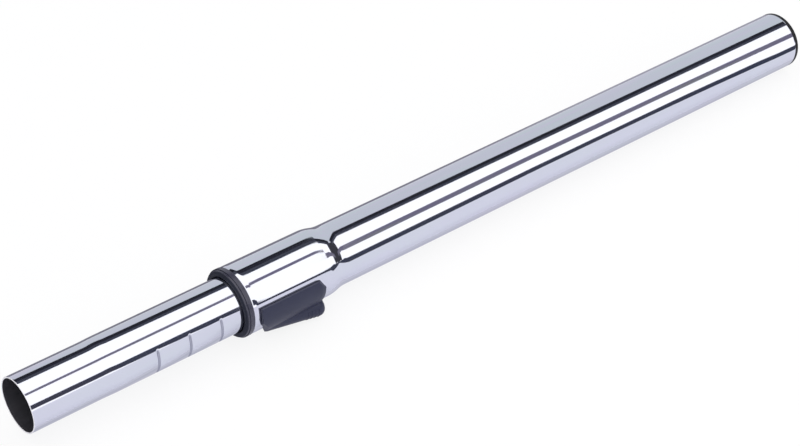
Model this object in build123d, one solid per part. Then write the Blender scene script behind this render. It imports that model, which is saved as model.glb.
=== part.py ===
from build123d import *
import math
import os

# Telescopic vacuum wand, in millimetres.
# Origin: centre of the handle socket's mouth. +X runs along the wand to the tool end, +Z is up.
# Every piece is drawn with the button straight up, then turned to the way the wand lies.

# Clearances
sliding_gap = 0.1
seat_gap = 0.05
body_gap = 0.3

# How far a shape that cuts reaches past what it cuts
cut_margin = 1.0

# Inner tube
inner_radius = 16.0
inner_wall = 0.8
tip_drop = 0.2
tip_length = 46.0
tip_cone = 1.5
edge_chamfer = 0.2

# Pressed detent grooves across the inner tube
groove_pitch = 20.0
steps_in = 4
steps_out = 8
first_groove = 75.0
groove_depth = 0.7
groove_floor = 1.1
groove_mouth = 1.8
groove_half_angle = 70.0
bead_run_out = 2.0

# Outer tube with its widened bell: the room round the inner tube that its bush and its sleeve need
bush_space = 1.15
outer_wall = 0.8
sleeve_space = 3.05
plain_length = 362.1
taper_length = 13.5
bell_length = 52.1
neck_length = 6.0
neck_drop = 0.6
window_corner = 1.2

# Handle socket liner in the far end of the outer tube
socket_gap = 0.15
socket_flange = 2.3
liner_length = 45.0
liner_stop_length = 2.5
liner_stop_lip = 0.9
lead_in = 0.6

# Collar ring at the bell's mouth, with the wiper in its bore
collar_step = 0.15
collar_side = 2.9
collar_nose = 5.4
collar_shoulder = 0.45
collar_round = 1.9
collar_edge = 0.4
collar_bore_gap = 0.4
collar_spigot = 2.6
wiper_width = 1.9
wiper_depth = 1.1
wiper_lip = 0.6
wiper_edge = 0.3

# Guide sleeve halves inside the bell
sleeve_length = 46.8
shell_wall = 1.1
shell_rib = 1.6
shell_rib_count = 6
sleeve_split = 0.1

# Bush, seal and end ring on the inner tube's hidden end
bush_length = 24.0
bush_pip_radius = 2.5
bush_pip_pitch = 12.0
bush_groove_width = 3.0
bush_groove_depth = 0.3
bush_groove_count = 2
seal_length = 3.8
seal_lip_length = 1.0
seal_lip_rise = 0.5
seal_edge = 0.3
end_ring_length = 2.8
end_ring_flange = 1.2
stop_gap = 0.4

# Lock shoe: an arc with one rib, a tail and a post
lock_inset = 21.6
shoe_thickness = 1.2
shoe_length = 5.0
shoe_half_angle = 48.0
shoe_window_room = 3.0
rib_width = 0.9
rib_flare = 0.2
rib_bite = 0.5
rib_half_angle = 45.0
post_offset = 15.0
post_length = 4.0
post_width = 3.2
post_height = 5.4
post_round = 1.0
pin_radius = 1.0
pin_height = 1.25

# Button travel, and how far the shoe lifts over it
button_travel = 3.0
lock_lift = 1.2

# Button cover: a saddle plate with a wedge-shaped ridge for the thumb
button_setback = 3.9
button_length = 43.2
plate_thickness = 1.85
plate_half_angle = 61.5
plate_bevel = 4.2
plate_edge = 0.4
corner_length = 5.0
corner_width = 2.8
front_bevel_length = 6.3
front_bevel_depth = 4.6
front_bevel_reach = 4
front_sweep_start = 7.1
front_sweep = 32.6
ridge_start = 3.2
ridge_slope = 8.8
ridge_overhang = 0.6
crown_radius = 6.1
ridge_end_radius = 4.4
cover_wall = 1.2
grip_rib_count = 4
grip_rib_pitch = 2.3
grip_rib_width = 0.8
grip_rib_height = 0.3
grip_rib_inset = 6.5
grip_rib_share = 0.6

# Carriage that the button cover clips over
cheek_width = 1.5
cheek_gap = 0.4
carriage_length = 10.6
carriage_bar = 1.2
post_clearance = 0.8
hook_reach = 1.7
hook_height = 1.0
bridge_length = 1.3
window_room = 0.7

# Springs
coil_radius = 1.2
coil_wire = 0.2
coil_sides = 8
coil_turns = 5
leaf_thickness = 0.2
leaf_width = 4.0
leaf_angle = 28.0
leaf_half_angle = 13.0

# How far the button is turned from straight up to where the lying wand rests on it
lying_turn = -138.0

# Stations along the wand, and radii that follow
tip_radius = inner_radius - tip_drop
socket_radius = inner_radius + socket_gap
outer_bore_radius = inner_radius + bush_space
outer_radius = outer_bore_radius + outer_wall
bell_bore_radius = inner_radius + sleeve_space
bell_radius = bell_bore_radius + outer_wall
collar_radius = bell_radius + collar_step
taper_x = socket_flange + plain_length
bell_x = taper_x + taper_length
mouth_x = bell_x + bell_length
lock_x = mouth_x - lock_inset
tool_x = lock_x + steps_in * groove_pitch + first_groove
sleeve_front_x = mouth_x - collar_spigot - sliding_gap
sleeve_rear_x = sleeve_front_x - sleeve_length
sleeve_bore = inner_radius + sliding_gap
sleeve_outer = bell_bore_radius - sliding_gap
bush_front_x = sleeve_rear_x - steps_out * groove_pitch - stop_gap
bush_rear_x = bush_front_x - bush_length
inner_rear_x = bush_rear_x - seal_length - end_ring_length - 2 * seat_gap
bush_bore = inner_radius + seat_gap
bush_outer = outer_bore_radius - sliding_gap

# Button and lock stations
cover_front_x = mouth_x - button_setback
cover_rear_x = cover_front_x - button_length
cover_bore = bell_radius + body_gap
cover_outer = cover_bore + plate_thickness
ridge_x = cover_front_x - ridge_start
ridge_rear_x = cover_rear_x - ridge_overhang
shoe_bore = inner_radius + body_gap
shoe_outer = shoe_bore + shoe_thickness
pin_x = lock_x - post_offset
pin_z = bell_radius + pin_height
post_top = shoe_outer + post_height
cheek_inner = post_width / 2 + cheek_gap
cheek_outer = cheek_inner + cheek_width
carriage_front_x = pin_x + post_length / 2 + post_clearance + carriage_bar
carriage_rear_x = carriage_front_x - carriage_length
hook_outer = cheek_outer + hook_reach
window_half = cheek_outer + window_room
ridge_depth = 2 * crown_radius
hook_top = math.sqrt(bell_bore_radius**2 - hook_outer**2) - body_gap
web_front_x = lock_x - shoe_length / 2 - body_gap - seat_gap
web_rear_x = web_front_x - bridge_length
window_front_x = web_front_x + body_gap
window_rear_x = carriage_rear_x - body_gap


# Shape helpers

def profile_face(corners):
    return make_face(Polyline(*[(x, 0, r) for x, r in corners], close=True))


def turned(*corners):
    return revolve(profile_face(corners), Axis.X)


def arc_block(half_angle, *corners):
    return revolve(Rot(X=-half_angle) * profile_face(corners), Axis.X, 2 * half_angle)


def tube(x0, x1, bore, outer):
    return turned((x0, bore), (x1, bore), (x1, outer), (x0, outer))


def rod(x0, x1, radius):
    return Pos(X=x0) * Rot(Y=90) * Cylinder(
        radius, x1 - x0, align=(Align.CENTER, Align.CENTER, Align.MIN)
    )


def block(x0, x1, y0, y1, z0, z1):
    return Pos((x0 + x1) / 2, (y0 + y1) / 2, (z0 + z1) / 2) * Box(x1 - x0, y1 - y0, z1 - z0)


def edges_at(shape, x):
    return shape.edges().filter_by_position(Axis.X, x - seat_gap, x + seat_gap)


def ridge_z(x):
    return cover_outer + (ridge_x - x) * math.tan(math.radians(ridge_slope))


def crown(radius, x0, x1, depth):
    # Round-topped bar that rises towards the handle as the button's ridge does
    section = Rectangle(2 * radius, depth, align=(Align.CENTER, Align.MAX)) + Circle(radius)
    slope = math.radians(ridge_slope)
    middle = (x0 + x1) / 2
    run = (math.cos(slope), 0, -math.sin(slope))
    centre = (middle, 0, ridge_z(middle) - crown_radius / math.cos(slope))
    bar = extrude(Plane(origin=centre, x_dir=(0, 1, 0), z_dir=run) * section, x1 - x0, both=True)
    reach = 3 * bell_radius
    return bar & block(x0, x1, -reach, reach, -reach, reach)


def above(z, x0, x1):
    # Everything over height z between two stations
    reach = 3 * bell_radius
    return block(x0, x1, -reach, reach, z, z + reach)


# Tubes

def make_outer_tube():
    def wall_line(drop):
        plain_r = outer_radius - drop
        bell_r = bell_radius - drop
        start = Vector(socket_flange, 0, plain_r)
        taper_start = Vector(taper_x, 0, plain_r)
        taper_end = Vector(bell_x, 0, bell_r)
        middle = (taper_start + taper_end) / 2
        neck_start = Vector(mouth_x - neck_length, 0, bell_r)
        mouth = Vector(mouth_x, 0, bell_r - neck_drop)
        return [
            Line(start, taper_start),
            TangentArc(taper_start, middle, tangent=(1, 0, 0)),
            TangentArc(taper_end, middle, tangent=(-1, 0, 0)),
            Line(taper_end, neck_start),
            TangentArc(neck_start, mouth, tangent=(1, 0, 0)),
        ]

    outside = wall_line(0)
    inside = wall_line(outer_wall)
    ends = [
        Line(outside[0] @ 0, inside[0] @ 0),
        Line(outside[-1] @ 1, inside[-1] @ 1),
    ]
    shell = revolve(make_face(Curve() + outside + inside + ends), Axis.X)
    window = block(window_rear_x, window_front_x, -window_half, window_half, 0, cover_outer)
    window = fillet(window.edges().filter_by(Axis.Z), window_corner)
    return shell - window


def make_inner_tube():
    cone_x = tool_x - tip_length
    bore = inner_radius - inner_wall
    tip_bore = tip_radius - inner_wall
    wall = turned(
        (inner_rear_x, bore),
        (cone_x - tip_cone, bore),
        (cone_x, tip_bore),
        (tool_x, tip_bore),
        (tool_x, tip_radius - edge_chamfer),
        (tool_x - edge_chamfer, tip_radius),
        (cone_x, tip_radius),
        (cone_x - tip_cone, inner_radius),
        (inner_rear_x, inner_radius),
    )
    half_mouth = groove_mouth / 2
    half_floor = groove_floor / 2
    floor = inner_radius - groove_depth
    centre_r = inner_radius - inner_wall / 2
    grooves = []
    beads = []
    for step in range(steps_in + steps_out + 1):
        x = tool_x - first_groove - step * groove_pitch
        grooves.append(arc_block(
            groove_half_angle,
            (x - half_floor, floor),
            (x + half_floor, floor),
            (x + half_mouth, inner_radius),
            (x + half_mouth, inner_radius + cut_margin),
            (x - half_mouth, inner_radius + cut_margin),
            (x - half_mouth, inner_radius),
        ))
        beads.append(arc_block(
            groove_half_angle + bead_run_out,
            (x - half_mouth - inner_wall / 2, centre_r),
            (x - half_floor - inner_wall / 2, floor - inner_wall),
            (x + half_floor + inner_wall / 2, floor - inner_wall),
            (x + half_mouth + inner_wall / 2, centre_r),
        ))
    hole_radius = bush_pip_radius + seat_gap
    holes = [
        Pos(x, 0, 0) * Cylinder(hole_radius, 3 * inner_radius)
        for x in pip_stations()
    ]
    return wall + beads - grooves - holes


# Pieces at the two ends of the outer tube

def make_socket_liner():
    body_r = outer_bore_radius - seat_gap
    stop_r = socket_radius - liner_stop_lip
    inner_x = liner_length - liner_stop_length
    return turned(
        (0, socket_radius + lead_in),
        (lead_in, socket_radius),
        (inner_x, socket_radius),
        (inner_x, stop_r),
        (liner_length, stop_r),
        (liner_length, body_r - lead_in),
        (liner_length - lead_in, body_r),
        (socket_flange, body_r),
        (socket_flange, outer_radius),
        (edge_chamfer, outer_radius),
        (0, outer_radius - edge_chamfer),
    )


def make_collar_ring():
    bore = inner_radius + collar_bore_gap
    spigot_r = bell_bore_radius - neck_drop - sliding_gap
    side_x = mouth_x + collar_side
    nose_x = mouth_x + collar_nose
    groove_x = mouth_x + collar_side / 2
    nose_r = collar_radius - collar_shoulder
    ring = turned(
        (mouth_x - collar_spigot, bore),
        (groove_x, bore),
        (groove_x, bore + wiper_depth),
        (groove_x + wiper_width, bore + wiper_depth),
        (groove_x + wiper_width, bore),
        (nose_x, bore),
        (nose_x, nose_r),
        (side_x, nose_r),
        (side_x, collar_radius),
        (mouth_x, collar_radius),
        (mouth_x, spigot_r),
        (mouth_x - collar_spigot, spigot_r),
    )
    ring = fillet(edges_at(ring, nose_x).sort_by(SortBy.RADIUS)[-1], collar_round)
    return fillet(edges_at(ring, nose_x).sort_by(SortBy.RADIUS)[0], collar_edge)


def make_wiper_ring():
    rear_x = mouth_x + collar_side / 2 + seat_gap
    front_x = rear_x + wiper_width - 2 * seat_gap
    outer = inner_radius + collar_bore_gap + wiper_depth - seat_gap
    lip = inner_radius + seat_gap
    return turned(
        (rear_x, outer),
        (rear_x, lip + wiper_lip),
        (front_x - 2 * wiper_edge, lip),
        (front_x - wiper_edge, lip),
        (front_x, lip + wiper_edge),
        (front_x, outer),
    )


# Guide sleeve: the lock cradle on the button's side and the ribbed shell behind

def sleeve_body():
    neck_x = mouth_x - neck_length - sliding_gap
    neck_r = sleeve_outer - neck_drop - sliding_gap
    return turned(
        (sleeve_rear_x, sleeve_bore),
        (sleeve_front_x, sleeve_bore),
        (sleeve_front_x, neck_r),
        (neck_x, neck_r),
        (neck_x, sleeve_outer),
        (sleeve_rear_x, sleeve_outer),
    )


def make_lock_cradle():
    half = sleeve_body() & above(sleeve_split / 2, sleeve_rear_x, sleeve_front_x)
    reach = shoe_length / 2 + body_gap + seat_gap
    shoe_window = arc_block(
        shoe_half_angle + shoe_window_room,
        (lock_x - reach, sleeve_bore - cut_margin),
        (lock_x + reach, sleeve_bore - cut_margin),
        (lock_x + reach, sleeve_outer + cut_margin),
        (lock_x - reach, sleeve_outer + cut_margin),
    )
    side = hook_outer + 2 * body_gap
    hook_window = block(window_rear_x, web_rear_x, -side, side, 0, bell_radius)
    tail_half = post_width / 2 + body_gap
    notch_x0 = web_rear_x - cut_margin
    notch_x1 = web_front_x + cut_margin
    tail_notch = block(notch_x0, notch_x1, -tail_half, tail_half, 0, bell_radius)
    leg_half = cheek_outer - sliding_gap
    legs = block(web_rear_x, web_front_x, -leg_half, leg_half, sleeve_bore, ridge_z(lock_x))
    bridge = legs & crown(crown_radius - cover_wall - body_gap, notch_x0, notch_x1, ridge_depth)
    bridge -= block(notch_x0, notch_x1, -tail_half, tail_half, 0, cover_bore)
    return half - shoe_window - hook_window - tail_notch + bridge


def make_guide_shell():
    body = sleeve_body() & (Rot(X=180) * above(sleeve_split / 2, sleeve_rear_x, sleeve_front_x))
    rib_step = (sleeve_length - shell_rib) / shell_rib_count
    for bay in range(shell_rib_count):
        x0 = sleeve_rear_x + shell_rib + bay * rib_step
        x1 = x0 + rib_step - shell_rib
        body -= tube(x0, x1, sleeve_bore + shell_wall, sleeve_outer + cut_margin)
    return body


# Bush, seal and end ring on the inner tube's hidden end

def pip_stations():
    centre = bush_rear_x + bush_length / 2
    return [centre - bush_pip_pitch / 2, centre + bush_pip_pitch / 2]


def make_bush_half(side):
    body = tube(bush_rear_x, bush_front_x, bush_bore, bush_outer)
    groove_r = bush_outer - bush_groove_depth
    bay = bush_length / bush_groove_count
    for groove in range(bush_groove_count):
        x0 = bush_rear_x + (groove + 0.5) * bay - bush_groove_width / 2
        body -= tube(x0, x0 + bush_groove_width, groove_r, bush_outer + cut_margin)
    pips = [
        Pos(x, 0, 0) * Cylinder(bush_pip_radius, 2 * bush_bore + bush_groove_depth)
        for x in pip_stations()
    ]
    pip_core = rod(bush_rear_x, bush_front_x, inner_radius - inner_wall + seat_gap)
    body = body + pips - pip_core
    half = body & above(sleeve_split, bush_rear_x, bush_front_x)
    return half if side > 0 else Rot(X=180) * half


def make_rear_seal():
    front_x = bush_rear_x - seat_gap
    rear_x = front_x - seal_length + seat_gap
    lip = outer_bore_radius - seat_gap
    return turned(
        (rear_x, bush_bore),
        (front_x, bush_bore),
        (front_x, lip - seal_lip_rise),
        (rear_x + seal_lip_length, lip),
        (rear_x + seal_edge, lip),
        (rear_x, lip - seal_edge),
    )


def make_end_ring():
    front_x = bush_rear_x - seal_length - seat_gap
    flange_x = inner_rear_x - seat_gap
    return turned(
        (flange_x - end_ring_flange, inner_radius - inner_wall + seat_gap),
        (flange_x, inner_radius - inner_wall + seat_gap),
        (flange_x, bush_bore),
        (front_x, bush_bore),
        (front_x, bush_outer),
        (flange_x - end_ring_flange, bush_outer),
    )


# Lock parts

def make_lock_shoe():
    x0 = lock_x - shoe_length / 2
    x1 = lock_x + shoe_length / 2
    arc = arc_block(
        shoe_half_angle, (x0, shoe_bore), (x1, shoe_bore), (x1, shoe_outer), (x0, shoe_outer)
    )
    rib_r = inner_radius - rib_bite
    rib = arc_block(
        rib_half_angle,
        (lock_x - rib_width / 2, rib_r),
        (lock_x + rib_width / 2, rib_r),
        (lock_x + rib_width / 2 + rib_flare, shoe_bore + seat_gap),
        (lock_x - rib_width / 2 - rib_flare, shoe_bore + seat_gap),
    )
    post_half = post_width / 2
    post_x = pin_x - post_length / 2
    tail = block(post_x, x0 + shoe_thickness, -post_half, post_half, shoe_bore, shoe_outer)
    post = block(post_x, post_x + post_length, -post_half, post_half, shoe_bore, post_top)
    post = fillet(post.edges().group_by(Axis.Z)[-1].filter_by(Axis.Y), post_round)
    pin_hole = Pos(pin_x, 0, pin_z) * Rot(X=90) * Cylinder(pin_radius, 4 * post_width)
    return arc + rib + tail + post - pin_hole


def make_lock_pin():
    return Pos(pin_x, 0, pin_z) * Rot(X=90) * Cylinder(pin_radius, 2 * cheek_outer)


def make_return_spring():
    front_x = web_rear_x - seat_gap
    length = front_x - carriage_front_x - seat_gap
    centre_z = cover_bore + coil_radius + coil_wire + seat_gap
    height = length - 2 * coil_wire
    path = Helix(height / coil_turns, height, coil_radius)
    section = Plane(origin=path @ 0, z_dir=path % 0) * RegularPolygon(coil_wire, coil_sides)
    coil = sweep(section, path=path, is_frenet=True)
    return Pos(carriage_front_x + seat_gap + coil_wire, 0, centre_z) * Rot(Y=90) * coil


def make_lock_spring(side):
    # Bowed steel strip between the back of the shoe and the bell's bore
    foot_r = shoe_outer + seat_gap
    top_r = bell_bore_radius - seat_gap - leaf_thickness

    def spot(angle, radius):
        turn = math.radians(leaf_angle + angle)
        return (0, -side * radius * math.sin(turn), radius * math.cos(turn))

    low = ThreePointArc(
        spot(-leaf_half_angle, foot_r), spot(0, top_r), spot(leaf_half_angle, foot_r)
    )
    high = ThreePointArc(
        spot(-leaf_half_angle, foot_r + leaf_thickness),
        spot(0, top_r + leaf_thickness),
        spot(leaf_half_angle, foot_r + leaf_thickness),
    )
    ends = [Line(low @ 0, high @ 0), Line(low @ 1, high @ 1)]
    strip = make_face(Curve() + [low, high] + ends)
    return extrude(Pos(X=lock_x) * strip, leaf_width / 2, dir=(1, 0, 0), both=True)


# Button

def make_button_cover():
    plate = arc_block(
        plate_half_angle,
        (cover_rear_x, cover_bore),
        (cover_front_x, cover_bore),
        (cover_front_x, cover_outer - plate_edge),
        (cover_front_x - plate_edge, cover_outer),
        (cover_rear_x + plate_bevel, cover_outer),
        (cover_rear_x, cover_bore + plate_edge),
    )
    side = cover_outer * math.sin(math.radians(plate_half_angle))
    for sign in (1, -1):
        corner = make_face(Polyline(
            (cover_rear_x + corner_length, sign * side),
            (cover_rear_x - cut_margin, sign * (side - corner_width - cut_margin)),
            (cover_rear_x - cut_margin, sign * (side + plate_thickness)),
            (cover_rear_x + corner_length, sign * (side + plate_thickness)),
            close=True,
        ))
        plate -= extrude(corner, 2 * cover_outer, dir=(0, 0, 1))
    ridge = crown(crown_radius, ridge_rear_x, cover_front_x, ridge_depth)
    ridge = fillet(edges_at(ridge, ridge_rear_x).sort_by(Axis.Z)[1:], ridge_end_radius)
    bevel_low = cover_outer - front_bevel_depth
    bevel_top = bevel_low + front_bevel_reach * front_bevel_depth
    bevel = profile_face([
        (cover_front_x, bevel_low),
        (cover_front_x + cut_margin, bevel_low),
        (cover_front_x + cut_margin, bevel_top),
        (cover_front_x - front_bevel_reach * front_bevel_length, bevel_top),
    ])
    bevel = extrude(bevel, 2 * cover_outer, dir=(0, 1, 0), both=True)
    sweep_x = cover_front_x - front_sweep_start
    sweep_run = 2 * cover_outer * math.tan(math.radians(front_sweep))
    swept = make_face(Polyline(
        (sweep_x, 0),
        (cover_front_x + cut_margin, 0),
        (cover_front_x + cut_margin, 2 * cover_outer),
        (sweep_x - sweep_run, 2 * cover_outer),
        close=True,
    ))
    swept = extrude(swept, 2 * cover_outer, dir=(0, 0, 1))
    bell_space = rod(ridge_rear_x - cut_margin, cover_front_x + cut_margin, cover_bore)
    cover = plate + ridge - bevel - swept - bell_space
    pocket_x0 = carriage_rear_x - seat_gap
    pocket_x1 = web_front_x + body_gap
    cover -= crown(crown_radius - cover_wall, pocket_x0, pocket_x1, ridge_depth)
    for rib in range(grip_rib_count):
        x0 = ridge_rear_x + grip_rib_inset + rib * grip_rib_pitch
        x1 = x0 + grip_rib_width
        bar = crown(crown_radius + grip_rib_height, x0, x1, crown_radius)
        bar -= crown(crown_radius - cover_wall / 2, x0, x1, crown_radius)
        cover += bar & above(ridge_z(x0) - grip_rib_share * crown_radius, x0, x1)
    return cover


def make_button_carriage():
    body = crown(
        crown_radius - cover_wall - seat_gap, carriage_rear_x, carriage_front_x, ridge_depth
    )
    width = 2 * cover_outer
    leg_z = hook_top - hook_height
    cheeks = []
    for sign in (1, -1):
        y0, y1 = sorted((sign * cheek_inner, sign * cheek_outer))
        cheeks.append(block(carriage_rear_x, carriage_front_x, y0, y1, leg_z, width))
        h0, h1 = sorted((sign * cheek_inner, sign * hook_outer))
        cheeks.append(block(
            carriage_rear_x + carriage_bar, carriage_front_x - carriage_bar, h0, h1, leg_z, hook_top
        ))
    bars = [
        block(x, x + carriage_bar, -cheek_outer, cheek_outer, bell_radius + body_gap, width)
        for x in (carriage_rear_x, carriage_front_x - carriage_bar)
    ]
    upper = body & (cheeks[0] + cheeks[2] + bars)
    lower = block(
        carriage_rear_x, carriage_front_x, -hook_outer, hook_outer, leg_z, bell_radius
    ) & (cheeks[0] + cheeks[1] + cheeks[2] + cheeks[3])
    carriage = upper + lower
    slot_run = math.hypot(button_travel, lock_lift)
    slot_turn = -math.degrees(math.atan2(lock_lift, button_travel))
    slot = SlotCenterToCenter(slot_run, 2 * (pin_radius + sliding_gap))
    place = Plane.XZ * Pos(pin_x - button_travel / 2, pin_z + lock_lift / 2) * Rot(Z=slot_turn)
    return carriage - extrude(place * slot, cover_outer, both=True)


# Pieces, by the names of their files

def wand_pieces():
    return {
        "outer_tube": make_outer_tube(),
        "inner_tube": make_inner_tube(),
        "socket_liner": make_socket_liner(),
        "collar_ring": make_collar_ring(),
        "wiper_ring": make_wiper_ring(),
        "lock_cradle": make_lock_cradle(),
        "guide_shell": make_guide_shell(),
        "rear_bush_upper": make_bush_half(1),
        "rear_bush_lower": make_bush_half(-1),
        "rear_seal": make_rear_seal(),
        "end_ring": make_end_ring(),
        "lock_shoe": make_lock_shoe(),
        "lock_pin": make_lock_pin(),
        "lock_spring_left": make_lock_spring(1),
        "lock_spring_right": make_lock_spring(-1),
        "return_spring": make_return_spring(),
        "button_cover": make_button_cover(),
        "button_carriage": make_button_carriage(),
    }


os.makedirs("parts", exist_ok=True)
for name, piece in wand_pieces().items():
    export_step(piece.rotate(Axis.X, lying_turn), f"parts/{name}.step")
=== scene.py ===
import math

import bmesh
import bpy
from mathutils import Matrix, Vector


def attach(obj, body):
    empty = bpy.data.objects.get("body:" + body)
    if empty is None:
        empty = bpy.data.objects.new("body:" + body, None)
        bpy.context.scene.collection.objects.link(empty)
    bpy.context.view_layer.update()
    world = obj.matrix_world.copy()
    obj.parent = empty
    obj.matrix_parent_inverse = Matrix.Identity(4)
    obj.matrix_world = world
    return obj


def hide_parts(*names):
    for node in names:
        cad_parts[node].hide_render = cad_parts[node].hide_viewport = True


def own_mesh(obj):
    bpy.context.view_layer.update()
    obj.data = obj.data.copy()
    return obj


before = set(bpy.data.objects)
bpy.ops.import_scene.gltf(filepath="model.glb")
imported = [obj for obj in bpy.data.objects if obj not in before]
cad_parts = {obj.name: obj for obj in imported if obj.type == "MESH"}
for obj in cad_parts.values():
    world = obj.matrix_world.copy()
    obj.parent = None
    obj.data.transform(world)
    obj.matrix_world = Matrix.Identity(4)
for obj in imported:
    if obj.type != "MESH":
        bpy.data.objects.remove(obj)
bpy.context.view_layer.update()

print("frame loaded:", len(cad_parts), "nodes")

# Pieces are drawn in millimetres with the button straight up, then turned to lie on it
metre = 0.001
lyingTurn = math.radians(-138)

# Places and radii that more than one piece shares
wand = {
    "taperStart": 364.4,
    "bellStart": 377.9,
    "mouth": 430.0,
    "toolEnd": 563.4,
    "plainRadius": 17.95,
    "bellRadius": 19.85,
    "innerRadius": 16.0,
    "wall": 0.8,
}

# Tolerances, in millimetres but for the angle
mergeDistance = 0.0005          # points nearer than this are one
cutDistance = 0.0001            # a point this near a cut lies on it
placeTolerance = 0.01           # a point this near a place is taken to be there
sharpAngle = math.radians(40)   # edges that turn more than this are shaded sharp


# Helpers

def linearColour(code):
    channels = [int(code[i:i + 2], 16) / 255 for i in (1, 3, 5)]
    linear = [c / 12.92 if c <= 0.04045 else ((c + 0.055) / 1.055) ** 2.4 for c in channels]
    return (*linear, 1)


def addNode(tree, kind, settings=None, links=None):
    node = tree.nodes.new(kind)
    for name, value in (settings or {}).items():
        if isinstance(name, int) or name in node.inputs.keys():
            node.inputs[name].default_value = value
        else:
            setattr(node, name, value)
    for name, source in (links or {}).items():
        tree.links.new(source, node.inputs[name])
    return node


def newMaterial(name):
    material = bpy.data.materials.new(name)
    material.use_nodes = True
    tree = material.node_tree
    tree.nodes.clear()
    return material, tree


def aroundAxis(point):
    # A point's distance from the wand's axis, and its turn from the button's side in degrees
    return math.hypot(point.y, point.z), math.degrees(math.atan2(abs(point.y), point.z))


def openEdges(bm):
    return [e for e in bm.edges if e.is_boundary]


def closedProfile(bm, corners):
    # A closed line through (x, radius) corners, above the wand's axis
    verts = [bm.verts.new((x, 0, r)) for x, r in corners]
    return verts, [bm.edges.new(pair) for pair in zip(verts, verts[1:] + verts[:1])]


def spinRing(bm, corners, steps):
    # The profile turned all the way round the wand's axis
    verts, edges = closedProfile(bm, corners)
    bmesh.ops.spin(bm, geom=verts + edges, cent=(0, 0, 0), axis=(1, 0, 0), angle=2 * math.pi,
                   steps=steps, use_merge=True, use_duplicate=False)


def bevelEdges(bm, edges, width, segments, clamp=False):
    bmesh.ops.bevel(bm, geom=edges, offset=width, affect="EDGES", segments=segments,
                    profile=0.5, material=-1, clamp_overlap=clamp)


def roundRims(bm, rims, width, segments):
    # Rims are found by their place along the wand and their radius
    def onRim(vert, x, radius):
        off = math.hypot(vert.co.y, vert.co.z) - radius
        return abs(vert.co.x - x) < placeTolerance and abs(off) < placeTolerance

    chosen = [e for e in bm.edges if any(all(onRim(v, *rim) for v in e.verts) for rim in rims)]
    bevelEdges(bm, chosen, width, segments)


def sliceOff(bm, place, normal):
    # Cuts away what lies on the side the normal points to, and closes the cut
    everything = list(bm.verts) + list(bm.edges) + list(bm.faces)
    bmesh.ops.bisect_plane(bm, geom=everything, dist=cutDistance, plane_co=place,
                           plane_no=normal, clear_outer=True)
    bmesh.ops.holes_fill(bm, edges=openEdges(bm))


def addPiece(bm, name):
    mesh = bpy.data.meshes.new(name)
    bm.to_mesh(mesh)
    bm.free()
    piece = bpy.data.objects.new(name, mesh)
    bpy.context.scene.collection.objects.link(piece)
    return piece


def workPiece(bm, name, nearest=mergeDistance):
    bmesh.ops.remove_doubles(bm, verts=bm.verts, dist=nearest)
    bmesh.ops.recalc_face_normals(bm, faces=bm.faces)
    return addPiece(bm, name)


def combine(piece, other, operation):
    change = piece.modifiers.new(operation, "BOOLEAN")
    change.operation = operation
    change.solver = "EXACT"
    change.object = other
    graph = bpy.context.evaluated_depsgraph_get()
    mesh = bpy.data.meshes.new_from_object(piece.evaluated_get(graph))
    piece.modifiers.clear()
    piece.data = mesh
    bpy.data.objects.remove(other)


def finishPiece(piece, look, weighted=True):
    # Turns the piece as the wand lies, brings it to metres, and gives it its finishes
    bm = bmesh.new()
    bm.from_mesh(piece.data)
    bmesh.ops.rotate(bm, verts=bm.verts, cent=(0, 0, 0),
                     matrix=Matrix.Rotation(lyingTurn, 3, "X"))
    bmesh.ops.scale(bm, verts=bm.verts, vec=(metre, metre, metre))
    for face in bm.faces:
        face.smooth = True
    bm.to_mesh(piece.data)
    bm.free()
    piece.data.set_sharp_from_angle(angle=sharpAngle)
    for name in look["finishes"]:
        piece.data.materials.append(materials[name])
    if weighted:
        normals = piece.modifiers.new("even shading", "WEIGHTED_NORMAL")
        normals.keep_sharp = True
    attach(piece, look["body"])
    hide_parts(look["node"])


# Finishes. The colour drifts between its two, and the grain moves the roughness in its range
# and raises the relief. Their sizes are in millimetres along and across the wand

grainSpan = (0.3, 0.7)    # nearly all of a noise lies between these

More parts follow.
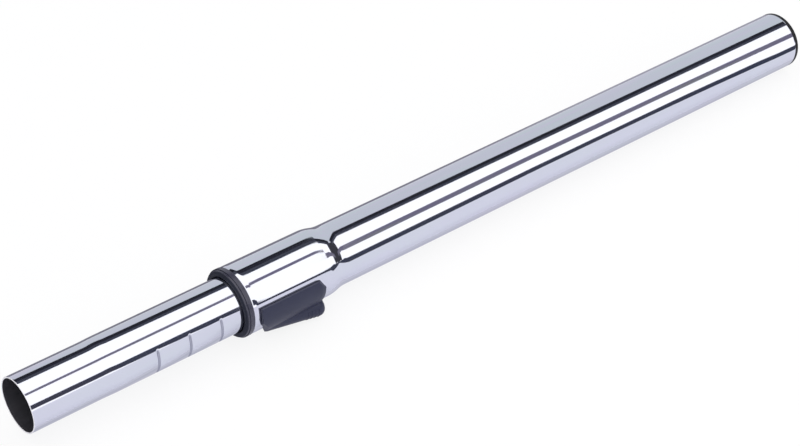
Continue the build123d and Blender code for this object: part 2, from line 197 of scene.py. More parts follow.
finishes = {
    # Bright chrome plate on drawn steel tube: a clean mirror, a touch blue, with a breath of
    # haze, faint lengthwise draw marks and a slow swell that make the reflections waver
    "chrome": {
        "name": "chrome-plated steel",
        "colours": ("#D3D9DD", "#D5D2E2"),
        "drift": (70, 9),
        "roughness": (0.035, 0.075),
        "grain": (60, 0.9),
        "relief": 0.0012,
        "swell": (26, 5),
        "swellRelief": 0.012,
        "metallic": 1.0,
    },
    # The plating at the bottom of the pressed grooves, where it runs thin and dull; its darker
    # colour is painted shade in the grooves
    "groovePlateShade": {
        "name": "dull chrome with painted groove shade",
        "colours": ("#B4B5C2", "#A6A8B6"),
        "drift": (8, 5),
        "roughness": (0.4, 0.55),
        "grain": (0.4, 2),
        "relief": 0.002,
        "metallic": 1.0,
    },
    # The tube's cut edge at the tool end: near white and half matt, so the lamps light it into a
    # thin bright line, a painted highlight on the rim
    "edge": {
        "name": "chrome edge with painted highlight",
        "colours": ("#F6F3F6", "#EDECF2"),
        "drift": (4, 4),
        "roughness": (0.32, 0.45),
        "grain": (0.5, 0.5),
        "relief": 0.002,
        "metallic": 0.3,
    },
    # The same tube unplated inside: dull drawn steel, dark and greyish, streaked lengthwise
    "bore": {
        "name": "bare drawn steel",
        "colours": ("#454349", "#35363D"),
        "drift": (30, 3),
        "roughness": (0.38, 0.55),
        "grain": (12, 0.5),
        "relief": 0.006,
        "metallic": 0.35,
    },
    # Moulded ABS with a spark-eroded grain, half gloss: blue-black
    "button": {
        "name": "grained ABS",
        "colours": ("#1F223A", "#252840"),
        "drift": (9, 6),
        "roughness": (0.36, 0.48),
        "grain": (0.35, 0.35),  # a little coarser than the real 0.1 mm, or it wouldn't show
        "relief": 0.006,
        "specular": 0.36,
    },
    # Moulded ABS from a polished tool: charcoal, with clear streaks of light round it
    "collar": {
        "name": "polished ABS",
        "colours": ("#2D2E3F", "#393747"),
        "drift": (3, 7),
        "roughness": (0.2, 0.34),
        "grain": (0.8, 2.5),
        "relief": 0.004,
        "specular": 0.5,
    },
    # The collar's nose, matt, and near black as painted shade on its front face beside the tube:
    # it stays dark beside the polished side
    "nose": {
        "name": "matt ABS with painted shade",
        "colours": ("#101425", "#191D2D"),
        "drift": (3, 7),
        "roughness": (0.5, 0.65),
        "grain": (0.5, 0.5),
        "relief": 0.004,
        "specular": 0.25,
    },
    # Moulded polypropylene: black and a little waxy, with soft flow marks
    "liner": {
        "name": "polypropylene",
        "colours": ("#101013", "#17171A"),
        "drift": (6, 4),
        "roughness": (0.4, 0.55),
        "grain": (1.5, 0.6),
        "relief": 0.005,
        "specular": 0.3,
    },
    # Nitrile rubber: dead black, faintly dusty
    "rubber": {
        "name": "nitrile rubber",
        "colours": ("#131313", "#1D1C1B"),
        "drift": (2, 2),
        "roughness": (0.62, 0.8),
        "grain": (0.3, 0.3),
        "relief": 0.008,
        "specular": 0.3,
    },
    # Natural acetal: milky white and waxy
    "acetal": {
        "name": "natural acetal",
        "colours": ("#DAD7CC", "#E2E0D7"),
        "drift": (8, 5),
        "roughness": (0.3, 0.42),
        "grain": (1.2, 0.8),
        "relief": 0.003,
        "specular": 0.45,
    },
    # Black acetal for the parts that slide on each other: slick, with mould flow in it
    "blackAcetal": {
        "name": "black acetal",
        "colours": ("#16161A", "#1E1E22"),
        "drift": (4, 3),
        "roughness": (0.26, 0.4),
        "grain": (0.8, 0.5),
        "relief": 0.003,
        "specular": 0.45,
    },
    # Ground steel: bright, with fine grinding lines
    "pin": {
        "name": "ground steel",
        "colours": ("#B9BABD", "#C9C9CB"),
        "drift": (1.5, 1.5),
        "roughness": (0.16, 0.3),
        "grain": (0.9, 0.12),
        "relief": 0.0015,
        "metallic": 1.0,
    },
    # Spring steel: drawn and tempered, grey with a straw tinge
    "spring": {
        "name": "spring steel",
        "colours": ("#8B8884", "#9A958C"),
        "drift": (1.5, 1.5),
        "roughness": (0.24, 0.36),
        "grain": (0.8, 0.15),
        "relief": 0.002,
        "metallic": 1.0,
    },
}


def makeFinish(look):
    material, tree = newMaterial(look["name"])
    place = addNode(tree, "ShaderNodeTexCoord")

    def noise(size, detail):
        along, across = size
        scale = [1 / (s * metre) for s in (along, across, across)]
        spread = addNode(tree, "ShaderNodeMapping", {"Scale": scale},
                         {"Vector": place.outputs["Object"]})
        return addNode(tree, "ShaderNodeTexNoise", {"Scale": 1.0, "Detail": detail},
                       {"Vector": spread.outputs[0]}).outputs[0]

    drift = noise(look["drift"], 2)
    grain = noise(look["grain"], 3)
    first, second = [linearColour(code) for code in look["colours"]]
    colour = addNode(tree, "ShaderNodeMix", {"data_type": "RGBA", 6: first, 7: second},
                     {0: drift})
    gloss = addNode(tree, "ShaderNodeMapRange", {
        "From Min": grainSpan[0], "From Max": grainSpan[1],
        "To Min": look["roughness"][0], "To Max": look["roughness"][1],
    }, {"Value": grain})
    relief = addNode(tree, "ShaderNodeBump",
                     {"Strength": 1.0, "Distance": look["relief"] * metre}, {"Height": grain})
    if "swell" in look:
        relief = addNode(tree, "ShaderNodeBump",
                         {"Strength": 1.0, "Distance": look["swellRelief"] * metre},
                         {"Height": noise(look["swell"], 1), "Normal": relief.outputs[0]})
    shader = addNode(tree, "ShaderNodeBsdfPrincipled", {
        "Metallic": look.get("metallic", 0.0),
        "Specular IOR Level": look.get("specular", 0.5),
    }, {
        "Base Color": colour.outputs[2],
        "Roughness": gloss.outputs[0],
        "Normal": relief.outputs[0],
    })
    addNode(tree, "ShaderNodeOutputMaterial", links={"Surface": shader.outputs[0]})
    return material


materials = {name: makeFinish(look) for name, look in finishes.items()}
print("finishes made:", len(materials))


# Outer tube: plain run, S-shaped taper, bell, and the neck turned in at the collar

outerTube = {
    "body": "outer", "node": "outer_tube", "slot": "chromed_outer",
    "finishes": ("chrome", "bore"),
    "farEnd": 2.3,
    "taperStations": 20,
    "neckStart": 427.4,
    "neckDrop": 0.6,
    "neckStations": 8,
    "window": (386.5, 405.85),
    "windowAngle": 13.1,  # half of it, in degrees
    "rimRound": 0.25,
    "rimSegments": 3,
    "rimSupport": 0.8,    # a loop this far off keeps the rim out of the long wall's shading
    "boreDepth": 0.7,     # faces further into the wall than this share of it are the bore's
    "steps": 192,
}


def outerRadius(x):
    plain, bell = wand["plainRadius"], wand["bellRadius"]
    if x > outerTube["neckStart"]:
        run = (x - outerTube["neckStart"]) / (wand["mouth"] - outerTube["neckStart"])
        return bell - outerTube["neckDrop"] * run ** 2
    share = (x - wand["taperStart"]) / (wand["bellStart"] - wand["taperStart"])
    share = min(max(share, 0), 1)
    rise = 2 * share ** 2 if share < 0.5 else 1 - 2 * (1 - share) ** 2
    return plain + (bell - plain) * rise


def between(start, end, count):
    return [start + (end - start) * i / count for i in range(count + 1)]


def makeOuterTube():
    look = outerTube
    stations = [look["farEnd"], look["farEnd"] + look["rimSupport"]]
    stations += between(wand["taperStart"], wand["bellStart"], look["taperStations"])
    stations += list(look["window"]) + [look["neckStart"] - look["rimSupport"]]
    stations += between(look["neckStart"], wand["mouth"], look["neckStations"])
    outside = [(x, outerRadius(x)) for x in stations]
    inside = [(x, r - wand["wall"]) for x, r in reversed(outside)]
    bm = bmesh.new()
    spinRing(bm, outside + inside, look["steps"])
    ends = (look["farEnd"], wand["mouth"])
    rims = [(x, outerRadius(x) - drop) for x in ends for drop in (0, wand["wall"])]
    roundRims(bm, rims, look["rimRound"], look["rimSegments"])
    rear, front = look["window"]
    opening = []
    for face in bm.faces:
        middle = face.calc_center_median()
        radius, turn = aroundAxis(middle)
        if rear < middle.x < front and turn < look["windowAngle"]:
            opening.append(face)
        if radius < outerRadius(middle.x) - look["boreDepth"] * wand["wall"]:
            face.material_index = look["finishes"].index("bore")
    bmesh.ops.delete(bm, geom=opening, context="FACES")
    bmesh.ops.bridge_loops(bm, edges=openEdges(bm))
    finishPiece(workPiece(bm, "outerTubeChromed"), look, weighted=False)


# Inner tube: a row of pressed grooves on the button's side, and a tip drawn in for the tool

innerTube = {
    "body": "inner", "node": "inner_tube", "slot": "chromed_inner",
    "finishes": ("chrome", "bore", "groovePlateShade", "edge"),
    "rear": 189.4,
    "tipRadius": 15.8,
    "coneStart": 511.6,
    "coneEnd": 521.7,
    "coneStations": 8,
    "firstGroove": 488.4,
    "groovePitch": 20.0,
    "grooves": 13,
    "grooveDepth": 0.7,
    "grooveHalf": 0.95,   # half its width at the top
    "grooveFlat": 0.25,   # half of the flat floor
    "grooveTurn": 64.0,   # how far round it runs each way before it fades, in degrees
    "grooveFade": 8.0,
    "grooveStations": 10,
    "groovePlateShadeDip": 0.15,  # deeper than this the plating is dull and darkened as painted groove shade
    "rimRound": 0.3,
    "rimSegments": 4,
    "rimSupport": 0.8,
    "edgeFacing": 0.3,    # faces of the rim turned this far to the tool end get the painted highlight
    "boreDepth": 0.75,    # faces further into the wall than this share of it are the bore's
    "pinHoles": (202.1, 214.1),
    "pinHoleRadius": 2.55,
    "drillLength": 50,    # right through the tube
    "drillSteps": 40,
    "steps": 180,
}


def grooveDip(x, turn):
    look = innerTube
    step = round((look["firstGroove"] - x) / look["groovePitch"])
    if not 0 <= step < look["grooves"]:
        return 0
    off = abs(x - look["firstGroove"] + step * look["groovePitch"])
    across = (off - look["grooveFlat"]) / (look["grooveHalf"] - look["grooveFlat"])
    along = (turn - look["grooveTurn"]) / look["grooveFade"]
    soft = [0.5 + 0.5 * math.cos(math.pi * min(max(v, 0), 1)) for v in (across, along)]
    return look["grooveDepth"] * soft[0] * soft[1]


def innerTubeRadius(x):
    look = innerTube
    share = min(max((x - look["coneStart"]) / (look["coneEnd"] - look["coneStart"]), 0), 1)
    ease = 0.5 - 0.5 * math.cos(math.pi * share)
    return wand["innerRadius"] + (look["tipRadius"] - wand["innerRadius"]) * ease


def makeInnerTube():
    look = innerTube
    stations = [look["rear"], look["rear"] + look["rimSupport"]]
    for step in reversed(range(look["grooves"])):
        x = look["firstGroove"] - step * look["groovePitch"]
        stations += between(x - look["grooveHalf"], x + look["grooveHalf"], look["grooveStations"])
    stations += between(look["coneStart"], look["coneEnd"], look["coneStations"])
    stations += [wand["toolEnd"] - look["rimSupport"], wand["toolEnd"]]
    outside = [(x, innerTubeRadius(x)) for x in stations]
    inside = [(x, r - wand["wall"]) for x, r in reversed(outside)]
    bm = bmesh.new()
    spinRing(bm, outside + inside, look["steps"])
    rims = [(wand["toolEnd"], look["tipRadius"] - drop) for drop in (0, wand["wall"])]
    roundRims(bm, rims, look["rimRound"], look["rimSegments"])
    for vert in bm.verts:
        radius, turn = aroundAxis(vert.co)
        shrink = 1 - grooveDip(vert.co.x, turn) / radius
        vert.co.y *= shrink
        vert.co.z *= shrink
    piece = workPiece(bm, "innerTubeChromed")
    for x in look["pinHoles"]:
        bm = bmesh.new()
        bmesh.ops.create_cone(bm, cap_ends=True, segments=look["drillSteps"],
                              radius1=look["pinHoleRadius"], radius2=look["pinHoleRadius"],
                              depth=look["drillLength"], matrix=Matrix.Translation((x, 0, 0)))
        combine(piece, workPiece(bm, "drill"), "DIFFERENCE")
    finishIndex = look["finishes"].index
    for face in piece.data.polygons:
        radius, turn = aroundAxis(face.center)
        dip = grooveDip(face.center.x, turn)
        if wand["innerRadius"] - radius - dip > look["boreDepth"] * wand["wall"]:
            face.material_index = finishIndex("bore")
        # Groove floors: dull plating, darkened as painted groove shade
        elif dip > look["groovePlateShadeDip"]:
            face.material_index = finishIndex("groovePlateShade")
        # The rim's faces toward the tool end: painted highlight
        atRim = face.center.x > wand["toolEnd"] - look["rimRound"]
        if atRim and face.normal.x > look["edgeFacing"]:
            face.material_index = finishIndex("edge")
    finishPiece(piece, look, weighted=False)


# Collar ring at the bell's mouth, with a rounded nose

collarRing = {
    "body": "outer", "node": "collar_ring", "slot": "collar_plastic",
    "finishes": ("collar", "nose"),
    "profile": [
        (427.4, 16.4), (431.45, 16.4), (431.45, 17.5), (433.35, 17.5), (433.35, 16.4),
        (434.7, 16.4), (434.7, 19.55), (432.9, 19.55), (432.9, 20.0), (430.0, 20.0),
        (430.0, 18.35), (427.4, 18.35),
    ],
    "noseRim": (434.7, 19.55),
    "noseRound": 1.7,
    "noseSegments": 8,
    "noseFacing": 0.6,    # faces turned this far to the tool end are matt and painted dark as shade
    "softRims": [(434.7, 16.4), (432.9, 20.0), (430.0, 20.0)],
    "softRound": 0.22,
    "softSegments": 3,
    "steps": 144,
}


def makeCollarRing():
    look = collarRing
    bm = bmesh.new()
    spinRing(bm, look["profile"], look["steps"])
    roundRims(bm, [look["noseRim"]], look["noseRound"], look["noseSegments"])
    roundRims(bm, look["softRims"], look["softRound"], look["softSegments"])
    bmesh.ops.recalc_face_normals(bm, faces=bm.faces)
    # The front faces take the nose finish: matt, darkened as painted shade
    for face in bm.faces:
        if face.normal.x > look["noseFacing"]:
            face.material_index = look["finishes"].index("nose")
    finishPiece(workPiece(bm, "collarRingMoulded"), look)


# Socket liner with the flange that shows round the far rim

socketLiner = {
    "body": "outer", "node": "socket_liner", "slot": "black_polypropylene",
    "finishes": ("liner",),
    "profile": [
        (0, 16.75), (0.6, 16.15), (42.5, 16.15), (42.5, 15.25), (45, 15.25), (45, 16.5),
        (44.4, 17.1), (2.3, 17.1), (2.3, 17.95), (0, 17.95),
    ],
    "softRims": [(0, 17.95), (0, 16.75)],
    "softRound": 0.35,
    "softSegments": 4,
    "steps": 144,
}


def makeSocketLiner():
    look = socketLiner
    bm = bmesh.new()
    spinRing(bm, look["profile"], look["steps"])
    roundRims(bm, look["softRims"], look["softRound"], look["softSegments"])
    finishPiece(workPiece(bm, "socketLinerMoulded"), look)


# Button cover: a saddle plate with a wedge-shaped ridge for the thumb and ribs at its high end

buttonCover = {
    "body": "button", "node": "button_cover", "slot": "button_abs",
    "finishes": ("button",),
    "rear": 382.9,
    "front": 426.1,
    "bore": 20.15,
    "outer": 22.0,
    "halfAngle": 61.5,
    "rearBevel": 4.2,
    "rearEdge": 0.4,
    "corner": (5.0, 4.8),       # length and width of the cut at each rear corner
    "frontBevel": (6.3, 4.6),   # run and drop of the sloping front
    "sweepStart": 5.1,
    "sweep": math.radians(27),  # how far the front edge of the far half leans back
    "edgeRound": 0.3,
    "edgeSegments": 3,
    "plateCrease": 25,          # edges that turn more than this, in degrees, are rounded
    "ridgeCrease": 20,
    "steps": 82,
    "ridgeRear": 382.3,
    "ridgeLow": 422.1,          # where the crown comes down to the plate
    "ridgeSlope": math.radians(8.8),
    "ridgeBehind": 0.06,        # the ridge's front stays this far inside the plate's cuts
    "ridgeUnder": 0.04,
    "crownRadius": 6.1,
    "endRound": 4.4,
    "endSegments": 10,
    "ribs": 4,
    "ribPitch": 2.3,
    "ribWidth": 0.8,
    "ribHeight": 0.2,
    "ribInset": 4.8,
    "ribRound": 0.2,
    "ribReach": 0.6,            # share of the crown's radius that a rib comes down
    "wall": 1.2,
    "pocket": (386.75, 405.85),
    "barLength": 60,            # before it is cut: longer than the button
    "barSteps": 72,
    "boreSteps": 192,
}


def roundSharpEdges(bm, width, crease):
    turn = math.radians(crease)
    chosen = [e for e in bm.edges if e.is_manifold and e.calc_face_angle() > turn]
    bevelEdges(bm, chosen, width, buttonCover["edgeSegments"], clamp=True)


def ridgeBar(bm, radius, rear, front):
    # Round-topped bar along the ridge's slope, cut off at two places along the wand
    look = buttonCover
    slope, length = look["ridgeSlope"], look["barLength"]
    made = bmesh.ops.create_circle(bm, cap_ends=True, segments=look["barSteps"], radius=radius)
    for vert in made["verts"]:
        if vert.co.y < -placeTolerance:
            vert.co.y -= 2 * look["crownRadius"]
    run = Vector((math.cos(slope), 0, -math.sin(slope)))
    rise = Vector((math.sin(slope), 0, math.cos(slope)))
    middle = (rear + front) / 2
    top = look["outer"] + (look["ridgeLow"] - middle) * math.tan(slope)
    centre = Vector((middle, 0, top - look["crownRadius"] / math.cos(slope)))
    basis = Matrix((Vector((0, 1, 0)), rise, run)).transposed().to_4x4()
    start = Matrix.Translation(centre - run * length / 2)
    bmesh.ops.transform(bm, verts=made["verts"], matrix=start @ basis)
    grown = bmesh.ops.extrude_face_region(bm, geom=list(bm.faces))
    farVerts = [v for v in grown["geom"] if isinstance(v, bmesh.types.BMVert)]
    bmesh.ops.translate(bm, verts=farVerts, vec=run * length)
    sliceOff(bm, (front, 0, 0), (1, 0, 0))
    sliceOff(bm, (rear, 0, 0), (-1, 0, 0))
    bmesh.ops.recalc_face_normals(bm, faces=bm.faces)


def cutFront(bm, behind=0, under=0):
    # The sloping front, and the sweep of its far half
    look = buttonCover
    run, drop = look["frontBevel"]
    sliceOff(bm, (look["front"], 0, look["outer"] - drop - under), (drop, 0, run))
    sweepNormal = (math.cos(look["sweep"]), math.sin(look["sweep"]), 0)
    sliceOff(bm, (look["front"] - look["sweepStart"] - behind, 0, 0), sweepNormal)
    bmesh.ops.recalc_face_normals(bm, faces=bm.faces)


def makePlate():
    # A profile spun part of the way, with two corners and the front sliced
    look = buttonCover
    bm = bmesh.new()
    verts, edges = closedProfile(bm, [
        (look["rear"], look["bore"]), (look["front"], look["bore"]),
        (look["front"], look["outer"]), (look["rear"] + look["rearBevel"], look["outer"]),
        (look["rear"], look["bore"] + look["rearEdge"]),
    ])
    half = math.radians(look["halfAngle"])
    bmesh.ops.rotate(bm, verts=verts, cent=(0, 0, 0), matrix=Matrix.Rotation(half, 3, "X"))
    bmesh.ops.spin(bm, geom=verts + edges, cent=(0, 0, 0), axis=(1, 0, 0), angle=-2 * half,
                   steps=look["steps"], use_merge=False, use_duplicate=False)
    bmesh.ops.holes_fill(bm, edges=openEdges(bm))
    side = look["outer"] * math.sin(half)
    length, width = look["corner"]
    for sign in (1, -1):
        sliceOff(bm, (look["rear"], sign * (side - width), 0), (-width, sign * length, 0))
    cutFront(bm)
    roundSharpEdges(bm, look["edgeRound"], look["plateCrease"])
    return workPiece(bm, "buttonCoverMoulded")


def makeRidge():
    # Rounded at its high end
    look = buttonCover
    bm = bmesh.new()
    ridgeBar(bm, look["crownRadius"], look["ridgeRear"], look["front"] - look["ridgeBehind"])
    rearRim = [e for e in bm.edges
               if all(abs(v.co.x - look["ridgeRear"]) < placeTolerance for v in e.verts)]
    bevelEdges(bm, rearRim, look["endRound"], look["endSegments"])
    cutFront(bm, look["ridgeBehind"], look["ridgeUnder"])
    roundSharpEdges(bm, look["edgeRound"], look["ridgeCrease"])
    return workPiece(bm, "ridge")


def makeRib(number):
    look = buttonCover
    rear = look["ridgeRear"] + look["ribInset"] + number * look["ribPitch"]
    bm = bmesh.new()
    ridgeBar(bm, look["crownRadius"] + look["ribHeight"], rear, rear + look["ribWidth"])
    top = max(v.co.z for v in bm.verts)
    sliceOff(bm, (0, 0, top - look["ribReach"] * look["crownRadius"]), (0, 0, -1))
    bmesh.ops.recalc_face_normals(bm, faces=bm.faces)
    roundSharpEdges(bm, look["ribRound"], look["plateCrease"])
    return workPiece(bm, "rib")


def makeBellRoom():
    look = buttonCover
    middle = Matrix.Translation(((look["rear"] + look["front"]) / 2, 0, 0))
    bm = bmesh.new()
    bmesh.ops.create_cone(bm, cap_ends=True, segments=look["boreSteps"], radius1=look["bore"],
                          radius2=look["bore"], depth=look["barLength"],
                          matrix=middle @ Matrix.Rotation(math.pi / 2, 4, "Y"))
    return workPiece(bm, "bell room")


def makePocket():
    look = buttonCover
    bm = bmesh.new()
    ridgeBar(bm, look["crownRadius"] - look["wall"], *look["pocket"])
    return workPiece(bm, "pocket")


def makeButtonCover():
    # Plate, ridge and ribs in one, hollowed for the bell and over the carriage
    cover = makePlate()
    combine(cover, makeRidge(), "UNION")
    for number in range(buttonCover["ribs"]):
        combine(cover, makeRib(number), "UNION")
    combine(cover, makeBellRoom(), "DIFFERENCE")
    combine(cover, makePocket(), "DIFFERENCE")
    finishPiece(cover, buttonCover)


makeOuterTube()
makeInnerTube()
print("tubes made")
makeCollarRing()
makeSocketLiner()
makeButtonCover()
print("plastic pieces made")


# The solids that keep their own form, each with its finish

dressed = {
    "wiper_ring": "rubber",
    "rear_seal": "rubber",
    "lock_cradle": "acetal",
    "guide_shell": "acetal",
    "rear_bush_upper": "acetal",
    "rear_bush_lower": "acetal",
    "end_ring": "acetal",
    "lock_shoe": "blackAcetal",
    "button_carriage": "blackAcetal",
    "lock_pin": "pin",
}

# A solid that a piece replaces wears the finish of that piece
replaced = {
    "outer_tube": "chrome",
    "inner_tube": "chrome",
    "collar_ring": "collar",
    "socket_liner": "liner",
    "button_cover": "button",
    "return_spring": "spring",
    "lock_spring_left": "spring",
    "lock_spring_right": "spring",
}
for name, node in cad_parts.items():
    node.data.materials.clear()
    node.data.materials.append(materials[{**dressed, **replaced}[name]])
print("solids dressed:", len(dressed))


# Springs: each is a merged copy of its solid. Travels are in millimetres

liftAxis = Matrix.Rotation(lyingTurn, 3, "X") @ Vector((0, 0, 1))
springs = {
    "return_spring": {
        "name": "returnSpringCoiled", "joint": "button_slide",
        "axis": Vector((1, 0, 0)), "travel": 3.0,
    },
    "lock_spring_left": {
        "name": "lockSpringLeftBowed", "joint": "lock_lift", "axis": liftAxis, "travel": 1.2,
    },
    "lock_spring_right": {
        "name": "lockSpringRightBowed", "joint": "lock_lift", "axis": liftAxis, "travel": 1.2,
    },
}


def makeSpring(node, look):
    bm = bmesh.new()
    bm.from_mesh(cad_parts[node].data)
    for face in bm.faces:
        face.smooth = True
    piece = workPiece(bm, look["name"], mergeDistance * metre)
    piece.data.set_sharp_from_angle(angle=sharpAngle)
    piece.data.materials.append(materials["spring"])
    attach(piece, "outer")
    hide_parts(node)
    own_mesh(piece)


for node, look in springs.items():
    makeSpring(node, look)
print("springs made:", len(springs))


# Studio: camera, floor, lamps and cards

studio = {
    "cameraPlace": (910.9, 725.6, 679.2),
    "cameraAim": (315.4, 1.2, 0),
    "lens": 92.25,
    "sight": 100,               # how far the camera sees, in metres
    "floorSize": 14000,
    "floorColour": "#F7F7F9",
    "floorLevel": -17.95,       # under the far rim, where the lying wand touches
    "floorSlope": -4.18 / 387,  # down to the button, where it touches too
    "cardLift": 0.4,            # of a band's card where it comes down to the table
    "stripLift": 0.3,           # of a strip that lies on the table
    "cardCloud": 140,           # size of the patches in a card's tone
    "cloudSpan": (0.35, 0.65),  # noise between which a patch goes from one tone to the other
    # Softboxes lie between two angles round the wand's axis, from level in front of it
    "softboxes": {"front softbox": (-8, 60), "top softbox": (60, 128)},
    "softboxCardSteps": 17,
    "lampReach": 3000,
    "lampEnds": (-2900, 3000),
    "doorway": -2950,           # just beyond the softboxes' far end
    "bandReach": 1000,          # from the wand's axis to a band's card
    "bandSteps": 8,
    "skyLight": 0.5,            # of the white surroundings as a lamp; they are seen as 1
    "radiance": 0.95,           # of the softboxes as they light the table and the plastics
    "mirrorRadiance": 1.52,     # and as they show in the metal
    "floorGlow": 0.85,          # share of plain white that the camera sees in the floor
    "floorMirrorGlow": 0.35,    # and that the metal sees, in this colour
    "floorMirrorColour": "#E7EAFF",
}


def floorHeight(x):
    return studio["floorLevel"] + x * studio["floorSlope"]


def makeCamera():
    data = bpy.data.cameras.new("camera")
    data.lens = studio["lens"]
    data.clip_end = studio["sight"]
    camera = bpy.data.objects.new("camera", data)
    bpy.context.scene.collection.objects.link(camera)
    place = Vector(studio["cameraPlace"]) * metre
    aim = Vector(studio["cameraAim"]) * metre
    camera.location = place
    camera.rotation_euler = (aim - place).to_track_quat("-Z", "Y").to_euler()
    bpy.context.scene.camera = camera


def stageGrid(name, rows, material):
    # Rows of points in millimetres, joined into one sheet
    bm = bmesh.new()
    rows = [[bm.verts.new(Vector(point) * metre) for point in row] for row in rows]
    for low, high in zip(rows, rows[1:]):
        for i in range(len(low) - 1):
            bm.faces.new((low[i], low[i + 1], high[i + 1], high[i]))
    piece = addPiece(bm, name)
    piece.data.materials.append(material)
    return piece


def makeCard(name, colours, rows, strength=1.0):
    # A studio card: it shows in the gloss alone, and takes no light from the table
    material, tree = newMaterial(name)
    place = addNode(tree, "ShaderNodeTexCoord")
    cloud = addNode(tree, "ShaderNodeTexNoise",
                    {"Scale": 1 / (studio["cardCloud"] * metre), "Detail": 2},
                    {"Vector": place.outputs["Object"]})
    low, high = studio["cloudSpan"]
    cloud = addNode(tree, "ShaderNodeMapRange", {"From Min": low, "From Max": high},
                    {"Value": cloud.outputs[0]})
    first, second = [linearColour(code) for code in colours]
    colour = addNode(tree, "ShaderNodeMix", {"data_type": "RGBA", 6: first, 7: second},
                     {0: cloud.outputs[0]})
    shader = addNode(tree, "ShaderNodeEmission", {"Strength": strength},
                     {"Color": colour.outputs[2]})
    addNode(tree, "ShaderNodeOutputMaterial", links={"Surface": shader.outputs[0]})
    card = stageGrid(name, rows, material)
    card.visible_camera = False
    card.visible_diffuse = False
    card.visible_shadow = False
    card.visible_transmission = False


def makeFloor():
    # White laminate table: its own lit colour carries the shadow, and plain white thins it
    material, tree = newMaterial("white laminate")
    lit = addNode(tree, "ShaderNodeBsdfDiffuse", {"Color": linearColour(studio["floorColour"])})
    path = addNode(tree, "ShaderNodeLightPath")
    tone = addNode(tree, "ShaderNodeMix", {
        "data_type": "RGBA",
        6: linearColour("#FFFFFF"),
        7: linearColour(studio["floorMirrorColour"]),
    }, {0: path.outputs["Is Glossy Ray"]})
    white = addNode(tree, "ShaderNodeEmission", {"Strength": 1.0}, {"Color": tone.outputs[2]})
    seen = addNode(tree, "ShaderNodeMath", {"operation": "MAXIMUM"}, {
        0: path.outputs["Is Camera Ray"],
        1: path.outputs["Is Transmission Ray"],
    })
    straight = addNode(tree, "ShaderNodeMath",
                       {"operation": "MULTIPLY", 1: studio["floorGlow"]}, {0: seen.outputs[0]})
    mirrored = addNode(tree, "ShaderNodeMath",
                       {"operation": "MULTIPLY", 1: studio["floorMirrorGlow"]},
                       {0: path.outputs["Is Glossy Ray"]})
    share = addNode(tree, "ShaderNodeMath", {"operation": "MAXIMUM"}, {
        0: straight.outputs[0],
        1: mirrored.outputs[0],
    })
    shader = addNode(tree, "ShaderNodeMixShader", links={
        0: share.outputs[0],
        1: lit.outputs[0],
        2: white.outputs[0],
    })
    addNode(tree, "ShaderNodeOutputMaterial", links={"Surface": shader.outputs[0]})
    half = studio["floorSize"] / 2
    rows = [[(x, y, floorHeight(x)) for x in (-half, half)] for y in (-half, half)]
    stageGrid("floor", rows, material)


def makeLamp(name, low, high):
    # Softbox whose edges lie at two angles round the wand's axis, from level in front of it
    middle = math.radians((low + high) / 2)
    half = math.radians(high - low) / 2
    start, end = studio["lampEnds"]
    away = Vector((0, math.cos(middle), math.sin(middle)))
    length = (end - start) * metre
    width = 2 * studio["lampReach"] * math.tan(half) * metre
    data = bpy.data.lights.new(name, "AREA")
    data.shape = "RECTANGLE"
    data.size = length
    data.size_y = width
    data.energy = studio["radiance"] * math.pi * length * width
    light = bpy.data.objects.new(name, data)
    bpy.context.scene.collection.objects.link(light)
    light.visible_camera = False
    light.visible_glossy = False
    along = Vector((1, 0, 0))
    basis = Matrix((along, away.cross(along), away)).transposed().to_4x4()
    place = (away * studio["lampReach"] + along * (start + end) / 2) * metre
    light.matrix_world = Matrix.Translation(place) @ basis


def mirrorSpot(x, radius, share, reach):
    # Where, at a reach from the axis or on the table before it, the camera sees mirrored in a
    # tube a point that lies at a share of the tube's width, counted from its upper edge
    camera = Vector(studio["cameraPlace"])
    turn = math.atan2(camera.z, camera.y) + math.asin(1 - 2 * share)
    normal = Vector((0, math.cos(turn), math.sin(turn)))
    point = Vector((x, 0, 0)) + normal * radius
    ray = (point - camera).normalized().reflect(normal)
    # The run to the reach solves a quadratic, and the table may come before it
    a = ray.y ** 2 + ray.z ** 2
    b = point.y * ray.y + point.z * ray.z
    c = radius ** 2 - reach ** 2
    run = (-b + math.sqrt(b * b - a * c)) / a
    slant = ray.z - ray.x * studio["floorSlope"]
    if slant < 0:
        run = min(run, (floorHeight(point.x) + studio["cardLift"] - point.z) / slant)
    return point + ray * run


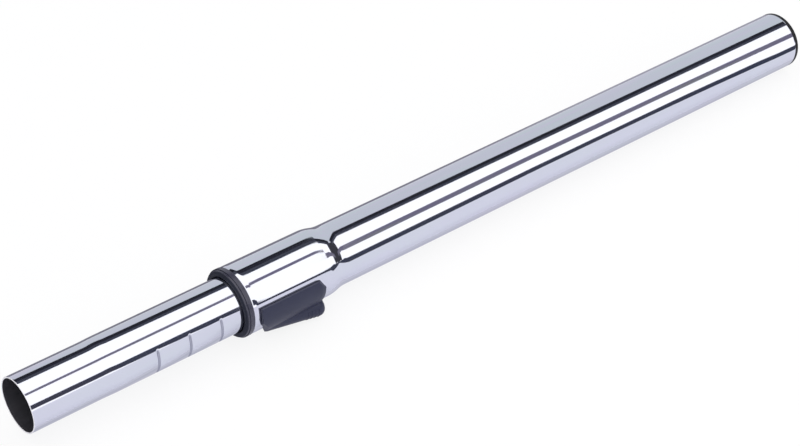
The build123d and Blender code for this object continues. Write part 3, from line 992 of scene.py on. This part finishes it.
# Bands of the tubes' reflections, each a long card: place along the wand, then the shares of
# the tube's width between which the band lies there. One with a part covers that much of it
tubeRadii = {
    "outer": wand["plainRadius"],
    "bell": wand["bellRadius"],
    "inner": wand["innerRadius"],
}
flagRows = {
    "outer": [(-40, 0.254, 0.347), (200, 0.226, 0.31), (364, 0.2, 0.285)],
    "bell": [(378, 0.15, 0.25), (424, 0.15, 0.25)],
    "inner": [(436, 0.147, 0.235), (500, 0.129, 0.215), (568, 0.103, 0.198),
              (760, 0.103, 0.198)],
}
bands = {
    "black flag": {"colours": ("#27282F", "#2E2F3A"), "part": (0, 0.55), **flagRows},
    "flag's hem": {"colours": ("#454956", "#50525C"), "part": (0.55, 1), **flagRows},
    "grey line": {
        "colours": ("#8B8A90", "#7D7790"),
        "outer": [(-40, 0.515, 0.592), (100, 0.47, 0.54), (220, 0.447, 0.517),
                  (364, 0.45, 0.525)],
        "bell": [(378, 0.362, 0.4), (424, 0.362, 0.402)],
        "inner": [(436, 0.385, 0.425), (568, 0.385, 0.42), (760, 0.385, 0.42)],
    },
    "navy mat": {
        "colours": ("#43485A", "#4A4A56"),
        "outer": [(-40, 0.742, 0.808), (20, 0.72, 0.787), (60, 0.692, 0.76),
                  (100, 0.668, 0.738), (220, 0.646, 0.71), (364, 0.65, 0.72)],
        "bell": [(378, 0.662, 0.69), (424, 0.662, 0.688)],
        "inner": [(436, 0.612, 0.687), (568, 0.588, 0.658), (760, 0.588, 0.658)],
    },
    "far glare": {
        "colours": ("#FFFFFF", "#FFFFFF"), "strength": studio["mirrorRadiance"],
        "outer": [(-40, 0.67, 0.741), (20, 0.67, 0.719), (60, 0.67, 0.691), (95, 0.67, 0.672)],
        "bell": [],
        "inner": [],
    },
    "lilac backdrop": {
        "colours": ("#DDE6E8", "#E3E2EC"), "reach": 1100,
        "outer": [(-1200, 0.04, 0.29), (0, 0.04, 0.29), (364, 0.04, 0.24)],
        "bell": [(378, 0.04, 0.2), (430, 0.04, 0.2)],
        "inner": [(436, 0.04, 0.18), (760, 0.04, 0.15)],
    },
}


def makeBands():
    for name, band in bands.items():
        reach = band.get("reach", studio["bandReach"])
        parts = between(*band.get("part", (0, 1)), studio["bandSteps"])
        rows = []
        for tube, radius in tubeRadii.items():
            for x, top, low in band[tube]:
                shares = [top + (low - top) * part for part in parts]
                rows.append([mirrorSpot(x, radius, share, reach) for share in shares])
        makeCard(name, band["colours"], rows, band.get("strength", 1.0))


def makeSoftboxCard():
    start, end = studio["lampEnds"]
    angles = [angle for span in studio["softboxes"].values() for angle in span]
    rows = []
    for angle in between(min(angles), max(angles), studio["softboxCardSteps"]):
        turn = math.radians(angle)
        y, z = studio["lampReach"] * math.cos(turn), studio["lampReach"] * math.sin(turn)
        rows.append([(start, y, z), (end, y, z)])
    makeCard("softboxes mirrored", ("#FFFFFF", "#FFFFFF"), rows, studio["mirrorRadiance"])


# Cards of the room, from two places along and two across it. One with heights stands up
# between those two points, and the others are strips that lie on the table
roomCards = {
    "dark doorway": {  # beyond the far end: the taper shows it
        "colours": ("#3E3E44", "#4B4A50"),
        "along": (studio["doorway"], studio["doorway"]), "across": (-2400, 3800),
        "heights": (floorHeight(studio["doorway"]), 3800),
    },
    "table edge": {
        "colours": ("#8E8D98", "#85838E"), "along": (120, 1500), "across": (-1000, -60),
    },
    "table edge beyond": {
        "colours": ("#B4B3BD", "#ABA9B4"), "along": (-2800, 120), "across": (-1000, -60),
    },
    "rear flag": {  # gives the chrome an edge when it is seen from behind
        "colours": ("#3E3E44", "#4B4A50"),
        "along": (-2800, 2800), "across": (-1500, -1500), "heights": (330, 900),
    },
    "wand's shade": {
        "colours": ("#C9CAD8", "#CFCFDA"), "along": (-40, 720), "across": (-16, 15),
    },
    "shade's fringe": {
        "colours": ("#DDDDE8", "#E1E1EA"), "along": (-40, 720), "across": (15, 20),
    },
}


def makeRoomCards():
    for name, look in roomCards.items():
        if "heights" in look:
            corners = list(zip(look["along"], look["across"]))
            rows = [[(x, y, z) for x, y in corners] for z in look["heights"]]
        else:
            rows = [[(x, y, floorHeight(x) + studio["stripLift"]) for x in look["along"]]
                    for y in look["across"]]
        makeCard(name, look["colours"], rows)


def makeWorld():
    world = bpy.data.worlds.new("studio")
    bpy.context.scene.world = world
    world.use_nodes = True
    tree = world.node_tree
    tree.nodes.clear()
    path = addNode(tree, "ShaderNodeLightPath")
    seen = addNode(tree, "ShaderNodeMath", {"operation": "MAXIMUM"}, {
        0: path.outputs["Is Camera Ray"],
        1: path.outputs["Is Glossy Ray"],
    })
    seen = addNode(tree, "ShaderNodeMath", {"operation": "MAXIMUM"}, {
        0: seen.outputs[0],
        1: path.outputs["Is Transmission Ray"],
    })
    level = addNode(tree, "ShaderNodeMapRange", {"To Min": studio["skyLight"], "To Max": 1.0},
                    {"Value": seen.outputs[0]})
    sky = addNode(tree, "ShaderNodeBackground", {"Color": linearColour("#FFFFFF")},
                  {"Strength": level.outputs[0]})
    addNode(tree, "ShaderNodeOutputWorld", links={"Surface": sky.outputs[0]})


makeCamera()
makeFloor()
makeWorld()
for name, (low, high) in studio["softboxes"].items():
    makeLamp(name, low, high)
makeSoftboxCard()
makeBands()
makeRoomCards()
bpy.context.scene.view_settings.view_transform = "Standard"
print("studio set")
